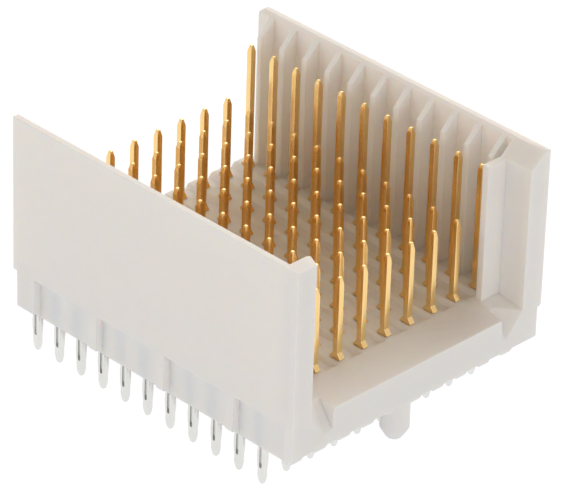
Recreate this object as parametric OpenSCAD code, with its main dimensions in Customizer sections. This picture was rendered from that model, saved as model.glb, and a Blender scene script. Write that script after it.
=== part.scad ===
// Press-fit pin header for a board to board connector.
// One moulded housing holds a grid of stamped contacts: square pins above, press-fit tails below.
// Frame: X runs along the columns towards the open end, Y runs across the rows, Z is up.
// Origin: middle of the contact grid, on the plane of the circuit board that the header sits on.

/* [Contact grid] */
// Distance between neighbouring contacts, the same in both directions
pitch = 2; // [1.9:0.05:2.4]
// Number of contact columns
columns = 11; // [5:1:11]
// Number of contact rows: the two outer rows are long, the others go in pairs
rows = 10; // [4:2:10]

/* [Contact pins] */
// Side of the square pin, also the thickness of the stamped strip
pin_side = 0.4; // [0.3:0.02:0.46]
// Height of the long pins above the ridges that they stand on
long_pin_height = 8.7; // [7:0.1:9.5]
// Height of the short pins above the ridges that they stand on
short_pin_height = 5.6; // [4:0.1:7]
// Length of the taper at a pin's tip
tip_length = 0.45; // [0.2:0.05:0.8]
// Width of the blunt end of a pin's tip
tip_width = 0.2; // [0.1:0.02:0.26]
// Width of the shoulder that stops a contact on its ridge
shoulder_width = 0.9; // [0.84:0.02:1.2]
// Height over which the shoulder flares out of the pin
shoulder_height = 0.4; // [0.3:0.05:0.8]
// Thickness of the shoulder's straight edge
shoulder_edge = 0.06; // [0.02:0.02:0.12]

/* [Contact tails] */
// Width of the blade that is pressed into the housing
blade_width = 0.66; // [0.6:0.02:0.7]
// Play around the blade in its slot, on each side
slot_clearance = 0.02; // [0.01:0.01:0.04]
// Length of the tails below the board plane
tail_length = 2.8; // [2.4:0.1:3.6]
// Width of a tail across its eye
tail_width = 0.62; // [0.52:0.02:0.66]
// Width of a tail at its blunt end
tail_end_width = 0.2; // [0.12:0.02:0.3]
// Width of the slit that lets the eye give
eye_width = 0.2; // [0.14:0.02:0.24]
// Length of that slit
eye_length = 1.6; // [1:0.05:1.65]

/* [Housing] */
// Wall ends beyond the first column
left_margin = 1.25; // [1:0.05:1.6]
// Open end beyond the last column
right_margin = 3.35; // [3.2:0.05:4]
// Near wall's outer face beyond the first row
near_margin = 0.93; // [0.86:0.01:1.1]
// Far wall's outer face beyond the last row
far_margin = 2.35; // [2.25:0.05:2.8]
// Height of the ridges' tops above the board
body_height = 3.5; // [3.2:0.05:4]
// Height of the far wall above the ridges' tops
wall_height = 10.25; // [9.6:0.05:11]
// How much lower the near wall stands
near_wall_drop = 0.12; // [0.02:0.02:0.4]
// Thickness of the near wall
near_wall = 0.45; // [0.4:0.01:0.5]
// Thickness of the far wall
far_wall = 0.6; // [0.55:0.05:0.7]
// How far the walls reach below the ridges' tops
skirt_depth = 0.75; // [0.5:0.05:0.9]
// How far the base stands back behind the far wall's face
base_inset = 0.3; // [0.1:0.05:0.45]
// How far the walls reach past the base at the closed end
wall_overhang = 0.33; // [0.1:0.01:0.4]
// Small chamfer along the walls' lower corners
skirt_chamfer = 0.14; // [0.05:0.01:0.2]
// Radius of the far wall's upper corner at the closed end
wall_corner_radius = 0.5; // [0.2:0.05:0.8]

/* [Ridges] */
// Height of the ridges on the floor, under the pins
floor_ridge_height = 0.3; // [0.2:0.05:0.4]
// Height of the ridges that rest on the board
seat_ridge_height = 0.36; // [0.25:0.01:0.45]
// Radius of the ridges' rounded flanks
ridge_radius = 0.74; // [0.7:0.01:0.8]
// Flat along the top of a ridge
ridge_flat = 0.8; // [0.6:0.05:0.9]
// How far the board ridges stop short of the base's ends
seat_ridge_inset = 0.55; // [0.3:0.05:0.8]

/* [Guide posts] */
// Length of the near post along its wall
near_post_length = 1.15; // [1:0.05:1.3]
// Thickness of the near post, wall included
near_post_thickness = 1.98; // [1.7:0.02:2.1]
// How much thinner the near post is at the open end
near_post_taper = 0.46; // [0.2:0.02:0.7]
// Chamfer on the near post's inner corner
near_post_chamfer = 0.15; // [0.05:0.01:0.3]
// Length of the far post along its wall, from its flange to the open end
far_post_length = 2.05; // [1.9:0.05:2.1]
// Thickness of the far post, wall included
far_post_thickness = 1.65; // [1.5:0.05:1.8]
// Thickness of the flange on the far post
flange_thickness = 0.5; // [0.3:0.05:0.55]
// How far that flange stands out of the far post
flange_reach = 1.55; // [1.2:0.05:1.8]
// Width of the far post's flat top
post_top_flat = 0.55; // [0.4:0.05:0.6]
// Slope of the far post's lead-in, degrees from level
post_lead_angle = 40; // [30:1:50]

/* [Far wall ribs] */
// Width of the far wall's flat top
wall_top_flat = 0.4; // [0.3:0.05:0.5]
// Slope of the lead-in on the wall and its ribs, degrees from level
wall_lead_angle = 46; // [30:1:50]
// Thickness of the ribs behind the long pins
rib_thickness = 0.44; // [0.3:0.02:0.6]
// How far the ribs stand out of the far wall
rib_depth = 1.08; // [0.9:0.02:1.4]

/* [Open end] */
// Length of the bare shelf beyond the ridges
shelf_length = 2.75; // [2.4:0.05:2.8]
// How far the shelf falls from the ridges' tops to its outer edge
shelf_drop = 0.42; // [0.3:0.02:0.6]
// Chamfer along the base's lower edge at the open end
end_chamfer = 0.35; // [0.1:0.05:0.5]
// Width of the trough beside each post
trough_width = 1.8; // [1.6:0.05:2.2]
// Depth of the troughs at the open end, below the floor
trough_depth = 1.6; // [1.2:0.05:1.8]
// Slope of the troughs, degrees from level
trough_angle = 54; // [45:1:60]
// Width of the near trough's flat bottom
near_trough_flat = 0.6; // [0.3:0.05:1.4]
// How far below the floor the near trough starts beside its post
near_trough_drop = 0.5; // [0:0.05:0.8]
// Width of the far trough's flat bottom
far_trough_flat = 0.45; // [0.2:0.05:1]
// How far below the floor the far trough starts beside its post
far_trough_drop = 0.1; // [0:0.05:0.8]

/* [Side panels] */
// Depth of the sunken panels along the near side
panel_depth = 0.5; // [0.2:0.02:0.6]
// Width of the ribs between the panels
panel_rib = 0.7; // [0.5:0.05:1]
// Number of columns from one rib to the next
panel_columns = 3; // [2:1:5]

/* [Locating peg] */
// Diameter of the peg
peg_diameter = 1.84; // [1.6:0.02:2]
// Length of the peg below the board plane
peg_length = 2.5; // [2:0.05:3]
// Diameter of the peg's round tip
peg_tip_diameter = 1.4; // [1:0.05:1.5]
// Slope of the peg's sides above its round tip, degrees from upright
peg_taper_angle = 30; // [20:1:40]
// Distance from the peg's middle to the open end
peg_margin = 1.2; // [1.1:0.05:1.6]

/* [Hidden] */
// Smoothness of round shapes
$fn = 48;
// Spare length that lets cuts run clear of the faces they pass
past = 1;
// Points along each side of a tail's eye
eye_steps = 8;
// How much a tail's eye swells out from its ends
eye_swell = 0.08;
// Share of the tail that the eye takes
eye_share = 0.62;
// Share of the tail that its rounded nose takes
nose_share = 0.2;
// Points along each side of that nose
nose_steps = 4;
// Points along the round tip of the peg
peg_steps = 6;
// Length of the taper from the blade to the tail, inside the housing
neck_length = 0.4;
// How far that taper ends below the housing's underside
neck_drop = 0.1;

first_x = -pitch * (columns - 1) / 2;
last_x = -first_x;
first_y = -pitch * (rows - 1) / 2;
last_y = -first_y;

left_x = first_x - left_margin;
base_left_x = left_x + wall_overhang;
right_x = last_x + right_margin;
near_y = first_y - near_margin;
far_y = last_y + far_margin;

under_z = seat_ridge_height;
ridge_z = body_height;
floor_z = ridge_z - floor_ridge_height;
skirt_z = ridge_z - skirt_depth;
top_z = ridge_z + wall_height;
near_top_z = top_z - near_wall_drop;

shelf_x = right_x - shelf_length;
shelf_edge_z = ridge_z - shelf_drop;
near_post_x = right_x - near_post_length;
near_post_y = near_y + near_post_thickness;
near_post_end_y = near_post_y - near_post_taper;
far_post_x = right_x - far_post_length;
flange_x = far_post_x - flange_thickness;
far_post_y = far_y - far_post_thickness;

slot_x = blade_width + 2 * slot_clearance;
slot_y = pin_side + 2 * slot_clearance;

neck_z = under_z - neck_drop;
blade_end_z = neck_z + neck_length;
eye_end_z = -tail_length * eye_share;
eye_z = -tail_length * eye_share / 2;
nose_length = tail_length * nose_share;
nose_z = nose_length - tail_length;

peg_x = right_x - peg_margin;

row_letters = "abcdefghij";
short_pairs = (rows - 2) / 2;

function column_label(column) = column < 9 ? str("0", column + 1) : str(column + 1);
function long_name(column) = str("long_contacts_", column_label(column));
function pair_letters(pair) = str(row_letters[2 * pair + 1], row_letters[2 * pair + 2]);
function short_name(column, pair) =
    str("short_contacts_", column_label(column), "_", pair_letters(pair));

function column_x(column) = first_x + column * pitch;
function row_y(row) = first_y + row * pitch;

long_names = [for (column = [0 : columns - 1]) long_name(column)];
short_names = [
    for (column = [0 : columns - 1])
        for (pair = [0 : short_pairs - 1])
            short_name(column, pair)
];

// Half of the eye's width at height z
function eye_half(z) =
    tail_width / 2 - eye_swell * pow((z - eye_z) / eye_z, 2);

// Half of the tail's width after a given turn round its nose, in degrees
function nose_half(turn) =
    tail_end_width / 2 + (eye_half(eye_end_z) - tail_end_width / 2) * cos(turn);

// One side of a contact's outline seen along the rows, from the tip down to the tail's end
function contact_side(tip_z) = concat(
    [
        [tip_width / 2, tip_z],
        [pin_side / 2, tip_z - tip_length],
        [pin_side / 2, ridge_z + shoulder_height],
        [shoulder_width / 2, ridge_z + shoulder_edge],
        [shoulder_width / 2, ridge_z],
        [blade_width / 2, ridge_z],
        [blade_width / 2, blade_end_z],
        [eye_half(0), neck_z]
    ],
    [
        for (step = [0 : eye_steps])
            [eye_half(eye_end_z * step / eye_steps), eye_end_z * step / eye_steps]
    ],
    [
        for (step = [0 : nose_steps])
            [nose_half(90 * step / nose_steps), nose_z - nose_length * sin(90 * step / nose_steps)]
    ]
);

// One side of its outline seen along the columns
function contact_edge(tip_z) = [
    [tip_width / 2, tip_z],
    [pin_side / 2, tip_z - tip_length],
    [pin_side / 2, nose_z],
    [tail_end_width / 2, -tail_length]
];

// The whole outline: one side, then its mirror image from the bottom up
function both_sides(side) = concat(
    side,
    [for (i = [len(side) - 1 : -1 : 0]) [-side[i][0], side[i][1]]]
);

// Draws a shape of X and Z, drawn out along Y by the given width about Y = 0
module across(width) {
    rotate([90, 0, 0])
        linear_extrude(width, center = true)
            children();
}

// Draws a shape of Y and Z, drawn out along X between two places
module along(from_x, to_x) {
    translate([from_x, 0, 0])
        rotate([90, 0, 90])
            linear_extrude(to_x - from_x)
                children();
}

// A box between two corners
module block(low, high) {
    translate(low)
        cube(high - low);
}

module eye_slit() {
    straight = eye_length - eye_width;
    translate([0, eye_z]) {
        square([eye_width, straight], center = true);
        for (end = [-1, 1])
            translate([0, end * straight / 2])
                circle(d = eye_width);
    }
}

// A stamped contact: pin, shoulder, blade and tail in one piece
module contact(pin_height) {
    tip_z = ridge_z + pin_height;
    intersection() {
        across(pin_side)
            difference() {
                polygon(both_sides(contact_side(tip_z)));
                eye_slit();
            }
        along(-shoulder_width, shoulder_width)
            polygon(both_sides(contact_edge(tip_z)));
    }
}

// The two long contacts of a column, in its outer rows
module long_contacts(column) {
    color("goldenrod")
        for (row = [0, rows - 1])
            translate([column_x(column), row_y(row), 0])
                contact(long_pin_height);
}

// Two neighbouring short contacts of a column
module short_contacts(column, pair) {
    color("goldenrod")
        for (row = [2 * pair + 1, 2 * pair + 2])
            translate([column_x(column), row_y(row), 0])
                contact(short_pin_height);
}

// A ridge's section: a rounded bar whose flat faces away from the housing by the given height
module ridge_section(height) {
    centre = height - sqrt(pow(ridge_radius, 2) - pow(ridge_flat / 2, 2));
    intersection() {
        translate([0, centre])
            circle(ridge_radius);
        translate([-ridge_radius, -height])
            square([2 * ridge_radius, 2 * height]);
    }
}

module floor_ridges() {
    along(base_left_x, shelf_x)
        for (row = [0 : rows - 1])
            translate([row_y(row), floor_z])
                ridge_section(floor_ridge_height);
}

module seat_ridges() {
    along(base_left_x + seat_ridge_inset, right_x - seat_ridge_inset)
        for (row = [0 : rows - 1])
            translate([row_y(row), under_z])
                mirror([0, 1])
                    ridge_section(seat_ridge_height);
}

// The block under the pins, with a sloping shelf and two troughs at the open end
module base() {
    back_y = far_y - base_inset;
    difference() {
        translate([0, (near_y + back_y) / 2, 0])
            across(back_y - near_y)
                polygon([
                    [base_left_x, under_z],
                    [base_left_x, floor_z],
                    [shelf_x, floor_z],
                    [shelf_x, ridge_z],
                    [right_x, shelf_edge_z],
                    [right_x, under_z + end_chamfer],
                    [right_x - end_chamfer, under_z]
                ]);
        troughs();
    }
}

// The near wall: a plain plate with a small chamfer along its lower edge
module near_plate() {
    along(left_x, near_post_x)
        polygon([
            [near_y + near_wall, skirt_z],
            [near_y + near_wall, near_top_z],
            [near_y, near_top_z],
            [near_y, skirt_z + skirt_chamfer],
            [near_y + skirt_chamfer, skirt_z]
        ]);
}

// The post at the near wall's end, which gets thinner towards the open end
module near_post() {
    translate([0, 0, skirt_z])
        linear_extrude(near_top_z - skirt_z)
            polygon([
                [near_post_x, near_y],
                [right_x, near_y],
                [right_x, near_post_end_y],
                [near_post_x + near_post_chamfer, near_post_y],
                [near_post_x, near_post_y - near_post_chamfer]
            ]);
}

// Height of a lead-in at a given distance inside the far wall's outer face
function lead_z(inside, flat, angle) = top_z - (inside - flat) * tan(angle);

// A stretch of the far side that stands out by the given depth, with a flat top and a lead-in
module far_stretch(from_x, to_x, depth, flat, angle) {
    along(from_x, to_x)
        polygon([
            [far_y, skirt_z + skirt_chamfer],
            [far_y, top_z],
            [far_y - flat, top_z],
            [far_y - depth, lead_z(depth, flat, angle)],
            [far_y - depth, skirt_z],
            [far_y - skirt_chamfer, skirt_z]
        ]);
}

// The wall, a rib behind each long pin, and the post at the open end with its flange
module far_side() {
    flange_z = lead_z(far_post_thickness, post_top_flat, post_lead_angle);
    difference() {
        far_stretch(left_x, right_x, far_wall, wall_top_flat, wall_lead_angle);
        wall_corner();
    }
    for (column = [0 : columns - 1])
        far_stretch(
            column_x(column) - rib_thickness / 2,
            column_x(column) + rib_thickness / 2,
            far_wall + rib_depth,
            wall_top_flat,
            wall_lead_angle
        );
    far_stretch(flange_x, right_x, far_post_thickness, post_top_flat, post_lead_angle);
    block(
        [flange_x, far_post_y - flange_reach, skirt_z],
        [far_post_x, far_post_y + far_wall, flange_z]
    );
}

// Rounds the far wall's upper corner at the closed end
module wall_corner() {
    centre_x = left_x + wall_corner_radius;
    centre_z = top_z - wall_corner_radius;
    difference() {
        block([left_x - past, far_y - far_wall - past, centre_z], [centre_x, far_y + past, top_z + past]);
        translate([centre_x, 0, centre_z])
            across(2 * (far_y + 2 * past))
                circle(wall_corner_radius);
    }
}

// The peg that finds its hole in the board: a shaft, a taper and a round tip
module peg() {
    tip_radius = peg_tip_diameter / 2;
    round_turn = 90 - peg_taper_angle;
    shaft_radius = peg_diameter / 2;
    taper_length = (shaft_radius - tip_radius * sin(round_turn)) / tan(peg_taper_angle);
    shaft_z = tip_radius * (1 - cos(round_turn)) + taper_length;
    round_tip = [
        for (step = [0 : peg_steps])
            [
                tip_radius * sin(round_turn * step / peg_steps),
                tip_radius * (1 - cos(round_turn * step / peg_steps))
            ]
    ];
    translate([peg_x, 0, -peg_length])
        rotate_extrude()
            polygon(concat(
                round_tip,
                [
                    [shaft_radius, shaft_z],
                    [shaft_radius, peg_length + under_z + seat_ridge_height],
                    [0, peg_length + under_z + seat_ridge_height]
                ]
            ));
}

module contact_slots() {
    for (column = [0 : columns - 1])
        for (row = [0 : rows - 1])
            translate([column_x(column), row_y(row), ridge_z / 2])
                cube([slot_x, slot_y, ridge_z + past], center = true);
}

// Section of a trough in the plane of the open end, beside a post at Y = 0 and below a floor at Z = 0
module trough_section(flat, drop) {
    polygon([
        [0, -drop],
        [trough_width - flat, -trough_depth],
        [trough_width, -trough_depth],
        [trough_width, past],
        [0, past]
    ]);
}

// The troughs on both sides of the shelf, which climb away from the open end
module troughs() {
    reach = 2 * trough_depth;
    translate([right_x, 0, floor_z])
        rotate([0, trough_angle, 0])
            along(-reach, reach)
                scale([1, cos(trough_angle)]) {
                    translate([near_post_end_y, 0])
                        trough_section(near_trough_flat, near_trough_drop);
                    translate([far_post_y, 0])
                        mirror([1, 0])
                            trough_section(far_trough_flat, far_trough_drop);
                }
}

// The sunken panels below the near wall, chamfered along the top, with ribs left standing between them
module side_panels() {
    first_rib_x = first_x + panel_rib;
    step = panel_columns * pitch;
    count = ceil((last_x - first_x) / step);
    for (panel = [0 : count - 1]) {
        rib_x = first_x + panel * step;
        from_x = panel == 0 ? first_rib_x : rib_x + panel_rib / 2;
        to_x = min(rib_x + step - panel_rib / 2, right_x - panel_rib);
        along(from_x, to_x)
            polygon([
                [near_y - past, -past],
                [near_y + panel_depth, -past],
                [near_y + panel_depth, skirt_z],
                [near_y + skirt_chamfer, skirt_z],
                [near_y - past, skirt_z + skirt_chamfer + past]
            ]);
    }
}

module housing() {
    color("white")
        difference() {
            union() {
                base();
                floor_ridges();
                seat_ridges();
                near_plate();
                near_post();
                far_side();
                peg();
            }
            contact_slots();
            side_panels();
        }
}

housing();
for (column = [0 : columns - 1])
    long_contacts(column);
for (column = [0 : columns - 1])
    for (pair = [0 : short_pairs - 1])
        short_contacts(column, pair);
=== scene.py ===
# %% [markdown]
# # A press-fit pin header
#
# The object is one half of a board to board connector: a white moulded housing, open at the top
# and at both ends, with 110 gold-plated pins standing in it. The solids were made in CAD and are
# loaded here as a fixed frame, in metres. This lesson adds what CAD leaves out: softened edges,
# the finishes of the plastic and the metal, the light and the camera.

# %% Load the solids
import math

import bpy
from mathutils import Matrix, Vector


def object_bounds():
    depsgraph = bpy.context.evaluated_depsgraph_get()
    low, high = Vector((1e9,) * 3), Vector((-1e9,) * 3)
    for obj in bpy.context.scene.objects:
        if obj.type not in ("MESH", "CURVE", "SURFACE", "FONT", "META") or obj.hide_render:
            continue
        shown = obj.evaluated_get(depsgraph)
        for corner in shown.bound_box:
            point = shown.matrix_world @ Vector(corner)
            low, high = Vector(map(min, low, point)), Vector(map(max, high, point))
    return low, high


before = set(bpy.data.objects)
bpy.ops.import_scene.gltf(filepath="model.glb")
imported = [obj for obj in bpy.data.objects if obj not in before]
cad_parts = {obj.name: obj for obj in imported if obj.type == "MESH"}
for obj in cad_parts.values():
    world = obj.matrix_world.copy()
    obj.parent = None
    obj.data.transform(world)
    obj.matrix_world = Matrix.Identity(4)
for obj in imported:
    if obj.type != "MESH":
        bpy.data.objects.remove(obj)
cad_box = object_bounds()
MM = 0.001
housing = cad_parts["housing"]
contacts = [piece for name, piece in sorted(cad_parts.items()) if name != "housing"]
print("loaded the housing and", len(contacts), "pairs of contacts")

# %% [markdown]
# ## Edges
#
# No moulded or stamped edge is a perfect knife edge: the mould has a small radius, and a stamping
# die leaves a rolled edge. Each edge could be rounded in CAD, but thousands of tiny faces would
# make the solids heavy. Four modifiers do it here, and the solids themselves stay as they are. Weld
# joins the triangles that the file keeps apart and closes very short edges, over which a bevel would
# fold. Bevel rounds the sharp edges. Edge Split keeps the edges that were not rounded crisp, such as
# those of the lead-in slopes. Weighted Normal lets the large faces set the shading, so that they look
# flat right up to their rounded edges.

# %% Round the edges
ROUNDING_STEPS = 3
CRISP_DEGREES = 40
LARGE_FACE_WEIGHT = 100
HOUSING_RADIUS_MM = 0.04
# The lead-in slopes turn by 46 degrees and stay unrounded, as the mesh has very thin triangles there.
HOUSING_SHARP_DEGREES = 47
HOUSING_WELD_MM = 0.03
CONTACT_RADIUS_MM = 0.025
CONTACT_SHARP_DEGREES = 28
CONTACT_WELD_MM = 0.004


def soften(piece, radius_mm, sharp_degrees, weld_mm):
    weld = piece.modifiers.new("weld", "WELD")
    weld.merge_threshold = weld_mm * MM
    bevel = piece.modifiers.new("rounded_edges", "BEVEL")
    bevel.width = radius_mm * MM
    bevel.segments = ROUNDING_STEPS
    bevel.limit_method = "ANGLE"
    bevel.angle_limit = math.radians(sharp_degrees)
    bevel.use_clamp_overlap = False
    bevel.loop_slide = False
    split = piece.modifiers.new("crisp_slopes", "EDGE_SPLIT")
    split.split_angle = math.radians(CRISP_DEGREES)
    split.use_edge_sharp = False
    even = piece.modifiers.new("flat_faces", "WEIGHTED_NORMAL")
    even.weight = LARGE_FACE_WEIGHT


soften(housing, HOUSING_RADIUS_MM, HOUSING_SHARP_DEGREES, HOUSING_WELD_MM)
for piece in contacts:
    soften(piece, CONTACT_RADIUS_MM, CONTACT_SHARP_DEGREES, CONTACT_WELD_MM)
graph = bpy.context.evaluated_depsgraph_get()
for piece in (housing, contacts[0]):
    shown = piece.evaluated_get(graph).to_mesh()
    print(piece.name, "has", len(shown.polygons), "faces once its edges are rounded")

# %% [markdown]
# ## Colours and nodes
#
# Colours are written as sRGB hex values, as a paint program shows them, and shaders want linear
# light, so one function turns the first into the second. Another small function adds a node to a
# material with its settings and its links, which keeps the recipes below short.

# %% Two helpers for materials
def linear(hex_colour):
    parts = [int(hex_colour[i : i + 2], 16) / 255 for i in (1, 3, 5)]
    light = [p / 12.92 if p <= 0.04045 else ((p + 0.055) / 1.055) ** 2.4 for p in parts]
    return (*light, 1.0)


def add(tree, kind, inputs=None, **settings):
    node = tree.nodes.new(kind)
    for name, value in settings.items():
        setattr(node, name, value)
    for name, value in (inputs or {}).items():
        if isinstance(value, bpy.types.NodeSocket):
            tree.links.new(value, node.inputs[name])
        else:
            node.inputs[name].default_value = value
    return node


def new_material(name):
    material = bpy.data.materials.new(name)
    material.use_nodes = True
    material.node_tree.nodes.clear()
    return material, material.node_tree


print("white in linear light:", linear("#FFFFFF"))

# %% [markdown]
# ## The housing's plastic
#
# Headers of this kind are moulded in liquid crystal polymer or a glass-filled polyester: a hard,
# slightly warm white plastic that lets a little light through where it is thin. The mould is spark
# eroded, which leaves a fine, even grain and a satin surface. A flat white would look like paper,
# so the finish has four layers: clouds of a slightly different white from the way the melt flowed,
# a grain in the bump, a roughness that wanders a little, and light that scatters under the skin.

# %% Moulded white plastic
CLOUD_MM = 6.0
STREAK_MM = 1.2
# Real spark-eroded grain is about 0.03 mm wide, too fine to show here, so it is drawn coarser.
GRAIN_MM = 0.16
GRAIN_DEPTH_MM = 0.01
# Light wanders about this far under the skin, red furthest, so thin walls glow warm.
SCATTER_MM = 0.4
SATIN_ROUGHNESS = (0.42, 0.56)
POLYMER_IOR = 1.55

# The eye gets a broad soft sheen, a faint cloudiness and a warm glow in the thin walls.
plastic, tree = new_material("liquid_crystal_polymer_spark_eroded_satin_white")
place = add(tree, "ShaderNodeTexCoord").outputs["Object"]
flow = add(tree, "ShaderNodeMapping", {"Vector": place, "Scale": (0.35, 1.0, 1.0)}).outputs["Vector"]
clouds = add(
    tree, "ShaderNodeTexNoise", {"Vector": place, "Scale": 1 / (CLOUD_MM * MM), "Detail": 3.0}
).outputs["Fac"]
streaks = add(
    tree, "ShaderNodeTexNoise", {"Vector": flow, "Scale": 1 / (STREAK_MM * MM), "Detail": 4.0}
).outputs["Fac"]
grain = add(
    tree, "ShaderNodeTexNoise", {"Vector": place, "Scale": 1 / (GRAIN_MM * MM), "Detail": 2.0}
).outputs["Fac"]
cloudy_white = add(
    tree,
    "ShaderNodeMix",
    {0: clouds, 6: linear("#F6F3F1"), 7: linear("#FAF8F6")},
    data_type="RGBA",
).outputs[2]
streaked_white = add(
    tree,
    "ShaderNodeMix",
    {0: streaks, 6: cloudy_white, 7: linear("#F7F4F2")},
    data_type="RGBA",
).outputs[2]
satin = add(
    tree, "ShaderNodeMapRange", {"Value": streaks, "To Min": SATIN_ROUGHNESS[0], "To Max": SATIN_ROUGHNESS[1]}
).outputs["Result"]
grain_bump = add(
    tree, "ShaderNodeBump", {"Height": grain, "Strength": 0.25, "Distance": GRAIN_DEPTH_MM * MM}
).outputs["Normal"]
shader = add(
    tree,
    "ShaderNodeBsdfPrincipled",
    {
        "Base Color": streaked_white,
        "Roughness": satin,
        "Normal": grain_bump,
        "IOR": POLYMER_IOR,
        "Subsurface Weight": 0.9,
        "Subsurface Radius": (1.0, 0.8, 0.62),
        "Subsurface Scale": SCATTER_MM * MM,
    },
)
add(tree, "ShaderNodeOutputMaterial", {"Surface": shader.outputs["BSDF"]})
housing.data.materials.clear()
housing.data.materials.append(plastic)
print("the housing wears", plastic.name)

# %% [markdown]
# ## The contacts' plating
#
# A contact is stamped from a copper alloy strip and plated twice: gold over nickel on the pin,
# where the socket slides, and bright tin on the tail, which is pressed into the board. The line
# between them is hidden inside the housing. Two materials on one mesh would need the mesh cut, so
# one material holds both metals and changes from tin to gold by height. Drawn strip keeps faint
# lines along its length, so the noise that makes them is stretched along the pin.

# %% Gold above, tin below
PLATING_LINE_MM = 1.8
PLATING_FADE_MM = 0.6
# Real draw lines are a few thousandths of a millimetre apart: they are drawn coarse to show.
DRAW_LINE_MM = 0.09
DRAW_LINE_DEPTH_MM = 0.005
TONE_MM = 2.5
POLISH_ROUGHNESS = (0.17, 0.3)

# The eye gets bright streaks of light along each pin, yellow in the cavity and silver below it.
plating, tree = new_material("stamped_copper_alloy_gold_over_nickel_and_bright_tin")
place = add(tree, "ShaderNodeTexCoord").outputs["Object"]
height = add(tree, "ShaderNodeSeparateXYZ", {"Vector": place}).outputs["Z"]
goldness = add(
    tree,
    "ShaderNodeMapRange",
    {
        "Value": height,
        "From Min": (PLATING_LINE_MM - PLATING_FADE_MM / 2) * MM,
        "From Max": (PLATING_LINE_MM + PLATING_FADE_MM / 2) * MM,
    },
).outputs["Result"]
along_pin = add(
    tree, "ShaderNodeMapping", {"Vector": place, "Scale": (1.0, 1.0, 0.04)}
).outputs["Vector"]
draw_lines = add(
    tree, "ShaderNodeTexNoise", {"Vector": along_pin, "Scale": 1 / (DRAW_LINE_MM * MM), "Detail": 3.0}
).outputs["Fac"]
tone = add(
    tree, "ShaderNodeTexNoise", {"Vector": place, "Scale": 1 / (TONE_MM * MM), "Detail": 2.0}
).outputs["Fac"]
gold = add(
    tree,
    "ShaderNodeMix",
    {0: tone, 6: linear("#F2CA82"), 7: linear("#FADBA0")},
    data_type="RGBA",
).outputs[2]
tin = add(
    tree,
    "ShaderNodeMix",
    {0: tone, 6: linear("#D6D6D4"), 7: linear("#E6E6E4")},
    data_type="RGBA",
).outputs[2]
metal_colour = add(
    tree, "ShaderNodeMix", {0: goldness, 6: tin, 7: gold}, data_type="RGBA"
).outputs[2]
polish = add(
    tree,
    "ShaderNodeMapRange",
    {"Value": draw_lines, "To Min": POLISH_ROUGHNESS[0], "To Max": POLISH_ROUGHNESS[1]},
).outputs["Result"]
line_bump = add(
    tree, "ShaderNodeBump", {"Height": draw_lines, "Strength": 0.12, "Distance": DRAW_LINE_DEPTH_MM * MM}
).outputs["Normal"]
shader = add(
    tree,
    "ShaderNodeBsdfPrincipled",
    {"Base Color": metal_colour, "Metallic": 1.0, "Roughness": polish, "Normal": line_bump},
)
add(tree, "ShaderNodeOutputMaterial", {"Surface": shader.outputs["BSDF"]})
for piece in contacts:
    piece.data.materials.clear()
    piece.data.materials.append(plating)
print(len(contacts), "pairs of contacts wear", plating.name)

# %% [markdown]
# ## Floor
#
# A product like this is photographed on a white table that is lit so brightly that it has almost
# no shadow. A plain white plane would go grey under the object, so the floor also gives off some
# light of its own, as a light table does. That glow would make the outer walls paler than they are in
# the photograph, so matt surfaces are not lit by the floor. The camera still sees it, and the bright
# tails still mirror it.

# %% A pale light table
FLOOR_SIDE_MM = 1600
FLOOR_GAP_MM = 0.01
FLOOR_GLOW = 0.92
floor_height = cad_box[0].z - FLOOR_GAP_MM * MM
half_side = FLOOR_SIDE_MM / 2 * MM
floor_mesh = bpy.data.meshes.new("floor")
floor_mesh.from_pydata(
    [(x * half_side, y * half_side, floor_height) for x, y in ((-1, -1), (1, -1), (1, 1), (-1, 1))],
    [],
    [(0, 1, 2, 3)],
)
floor = bpy.data.objects.new("floor", floor_mesh)
bpy.context.scene.collection.objects.link(floor)
floor.visible_diffuse = False

# Lit from below, it gives the eye an even white with no grain of its own.
table_white, tree = new_material("opal_acrylic_light_table")
shader = add(
    tree,
    "ShaderNodeBsdfPrincipled",
    {
        "Base Color": linear("#7C7C7C"),
        "Roughness": 0.9,
        "Specular IOR Level": 0.0,
        "Emission Color": linear("#FFFFFF"),
        "Emission Strength": FLOOR_GLOW,
    },
)
add(tree, "ShaderNodeOutputMaterial", {"Surface": shader.outputs["BSDF"]})
floor_mesh.materials.append(table_white)
print("floor at", round(floor_height / MM, 2), "mm")

# %% [markdown]
# ## Light
#
# In the photograph the upright faces are light, and the level ones lie in a warm half shade. A light
# tent does that: lit cloth all round and a dim opening above. It could be built as a dome, but a
# world whose colour changes with height gives the same light with no mesh. Three soft boxes add a
# direction: one in front on the left, a weak one at the open end, and one behind, which reaches over
# the far wall to the inner side of the near wall. The pins mirror that side.

# %% Three soft boxes and a light tent
TENT_STRENGTH = 0.8


def soft_box(name, place_mm, aim_mm, side_mm, watts):
    lamp = bpy.data.lights.new(name, "AREA")
    lamp.shape = "RECTANGLE"
    lamp.size, lamp.size_y = (side * MM for side in side_mm)
    lamp.energy = watts
    holder = bpy.data.objects.new(name, lamp)
    place, aim = Vector(place_mm) * MM, Vector(aim_mm) * MM
    holder.location = place
    holder.rotation_euler = (aim - place).to_track_quat("-Z", "Y").to_euler()
    bpy.context.scene.collection.objects.link(holder)
    return holder


middle_mm = tuple((cad_box[0] + cad_box[1]) / 2 / MM)
soft_box("key_soft_box", (-240, -350, 260), middle_mm, (360, 300), 0.27)
soft_box("fill_soft_box", (440, -40, 120), middle_mm, (360, 240), 0.15)
soft_box("back_soft_box", (-130, 330, 300), middle_mm, (460, 360), 0.9)

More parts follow.
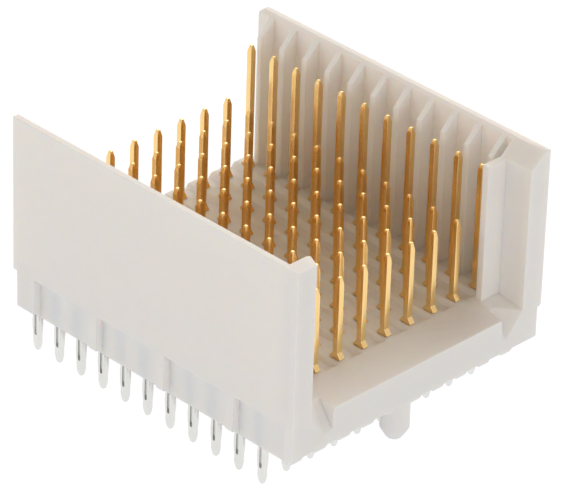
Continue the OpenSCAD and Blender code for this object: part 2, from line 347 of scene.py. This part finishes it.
light_tent = bpy.data.worlds.new("light_tent")
light_tent.use_nodes = True
tree = light_tent.node_tree
tree.nodes.clear()
direction = add(tree, "ShaderNodeTexCoord").outputs["Generated"]
upward = add(tree, "ShaderNodeSeparateXYZ", {"Vector": direction}).outputs["Z"]
level = add(tree, "ShaderNodeMapRange", {"Value": upward, "From Min": -1.0}).outputs["Result"]
cloth = add(tree, "ShaderNodeValToRGB", {"Fac": level})
# From straight down to straight up: the table, the lit cloth all round, the dim hole at the top.
shades = (
    (0.0, "#F0F0F2"),
    (0.47, "#F0F0F2"),
    (0.53, "#FFFFFF"),
    (0.7, "#FFF8EE"),
    (1.0, "#7E6240"),
)
stops = cloth.color_ramp.elements
while len(stops) < len(shades):
    stops.new(0.5)
for stop, (share, shade) in zip(stops, shades):
    stop.position = share
    stop.color = linear(shade)
sky = add(tree, "ShaderNodeBackground", {"Color": cloth.outputs["Color"], "Strength": TENT_STRENGTH})
add(tree, "ShaderNodeOutputWorld", {"Surface": sky.outputs["Background"]})
bpy.context.scene.world = light_tent
bpy.context.scene.view_settings.view_transform = "Standard"
print("three soft boxes and a light tent")

# %% [markdown]
# ## Camera
#
# The camera was found from the photograph: the pins stand on an exact 2 mm grid, so the picture
# places of their tips, feet and tails give its direction, distance and focal length. It stands far
# off with a long lens, and it is tilted by almost two degrees.

# %% The camera of the photograph
PHOTO_WIDTH_PX = 564
FOCAL_PX = 4610.2
azimuth, elevation, roll = (math.radians(a) for a in (44.683, 30.998, 1.825))
camera_place = Vector((170.802, -170.547, 150.764)) * MM

back = Vector(
    (
        math.sin(azimuth) * math.cos(elevation),
        -math.cos(azimuth) * math.cos(elevation),
        math.sin(elevation),
    )
)
level_right = Vector((math.cos(azimuth), math.sin(azimuth), 0.0))
level_up = back.cross(level_right)
right = level_right * math.cos(roll) + level_up * math.sin(roll)
up = level_up * math.cos(roll) - level_right * math.sin(roll)

lens = bpy.data.cameras.new("product_camera")
lens.sensor_width = 36.0
lens.lens = FOCAL_PX * lens.sensor_width / PHOTO_WIDTH_PX
lens.clip_start, lens.clip_end = 0.01, 10.0
camera = bpy.data.objects.new("product_camera", lens)
camera.matrix_world = Matrix.Translation(camera_place) @ Matrix((right, up, back)).transposed().to_4x4()
bpy.context.scene.collection.objects.link(camera)
bpy.context.scene.camera = camera
print("focal length", round(lens.lens, 1), "mm")
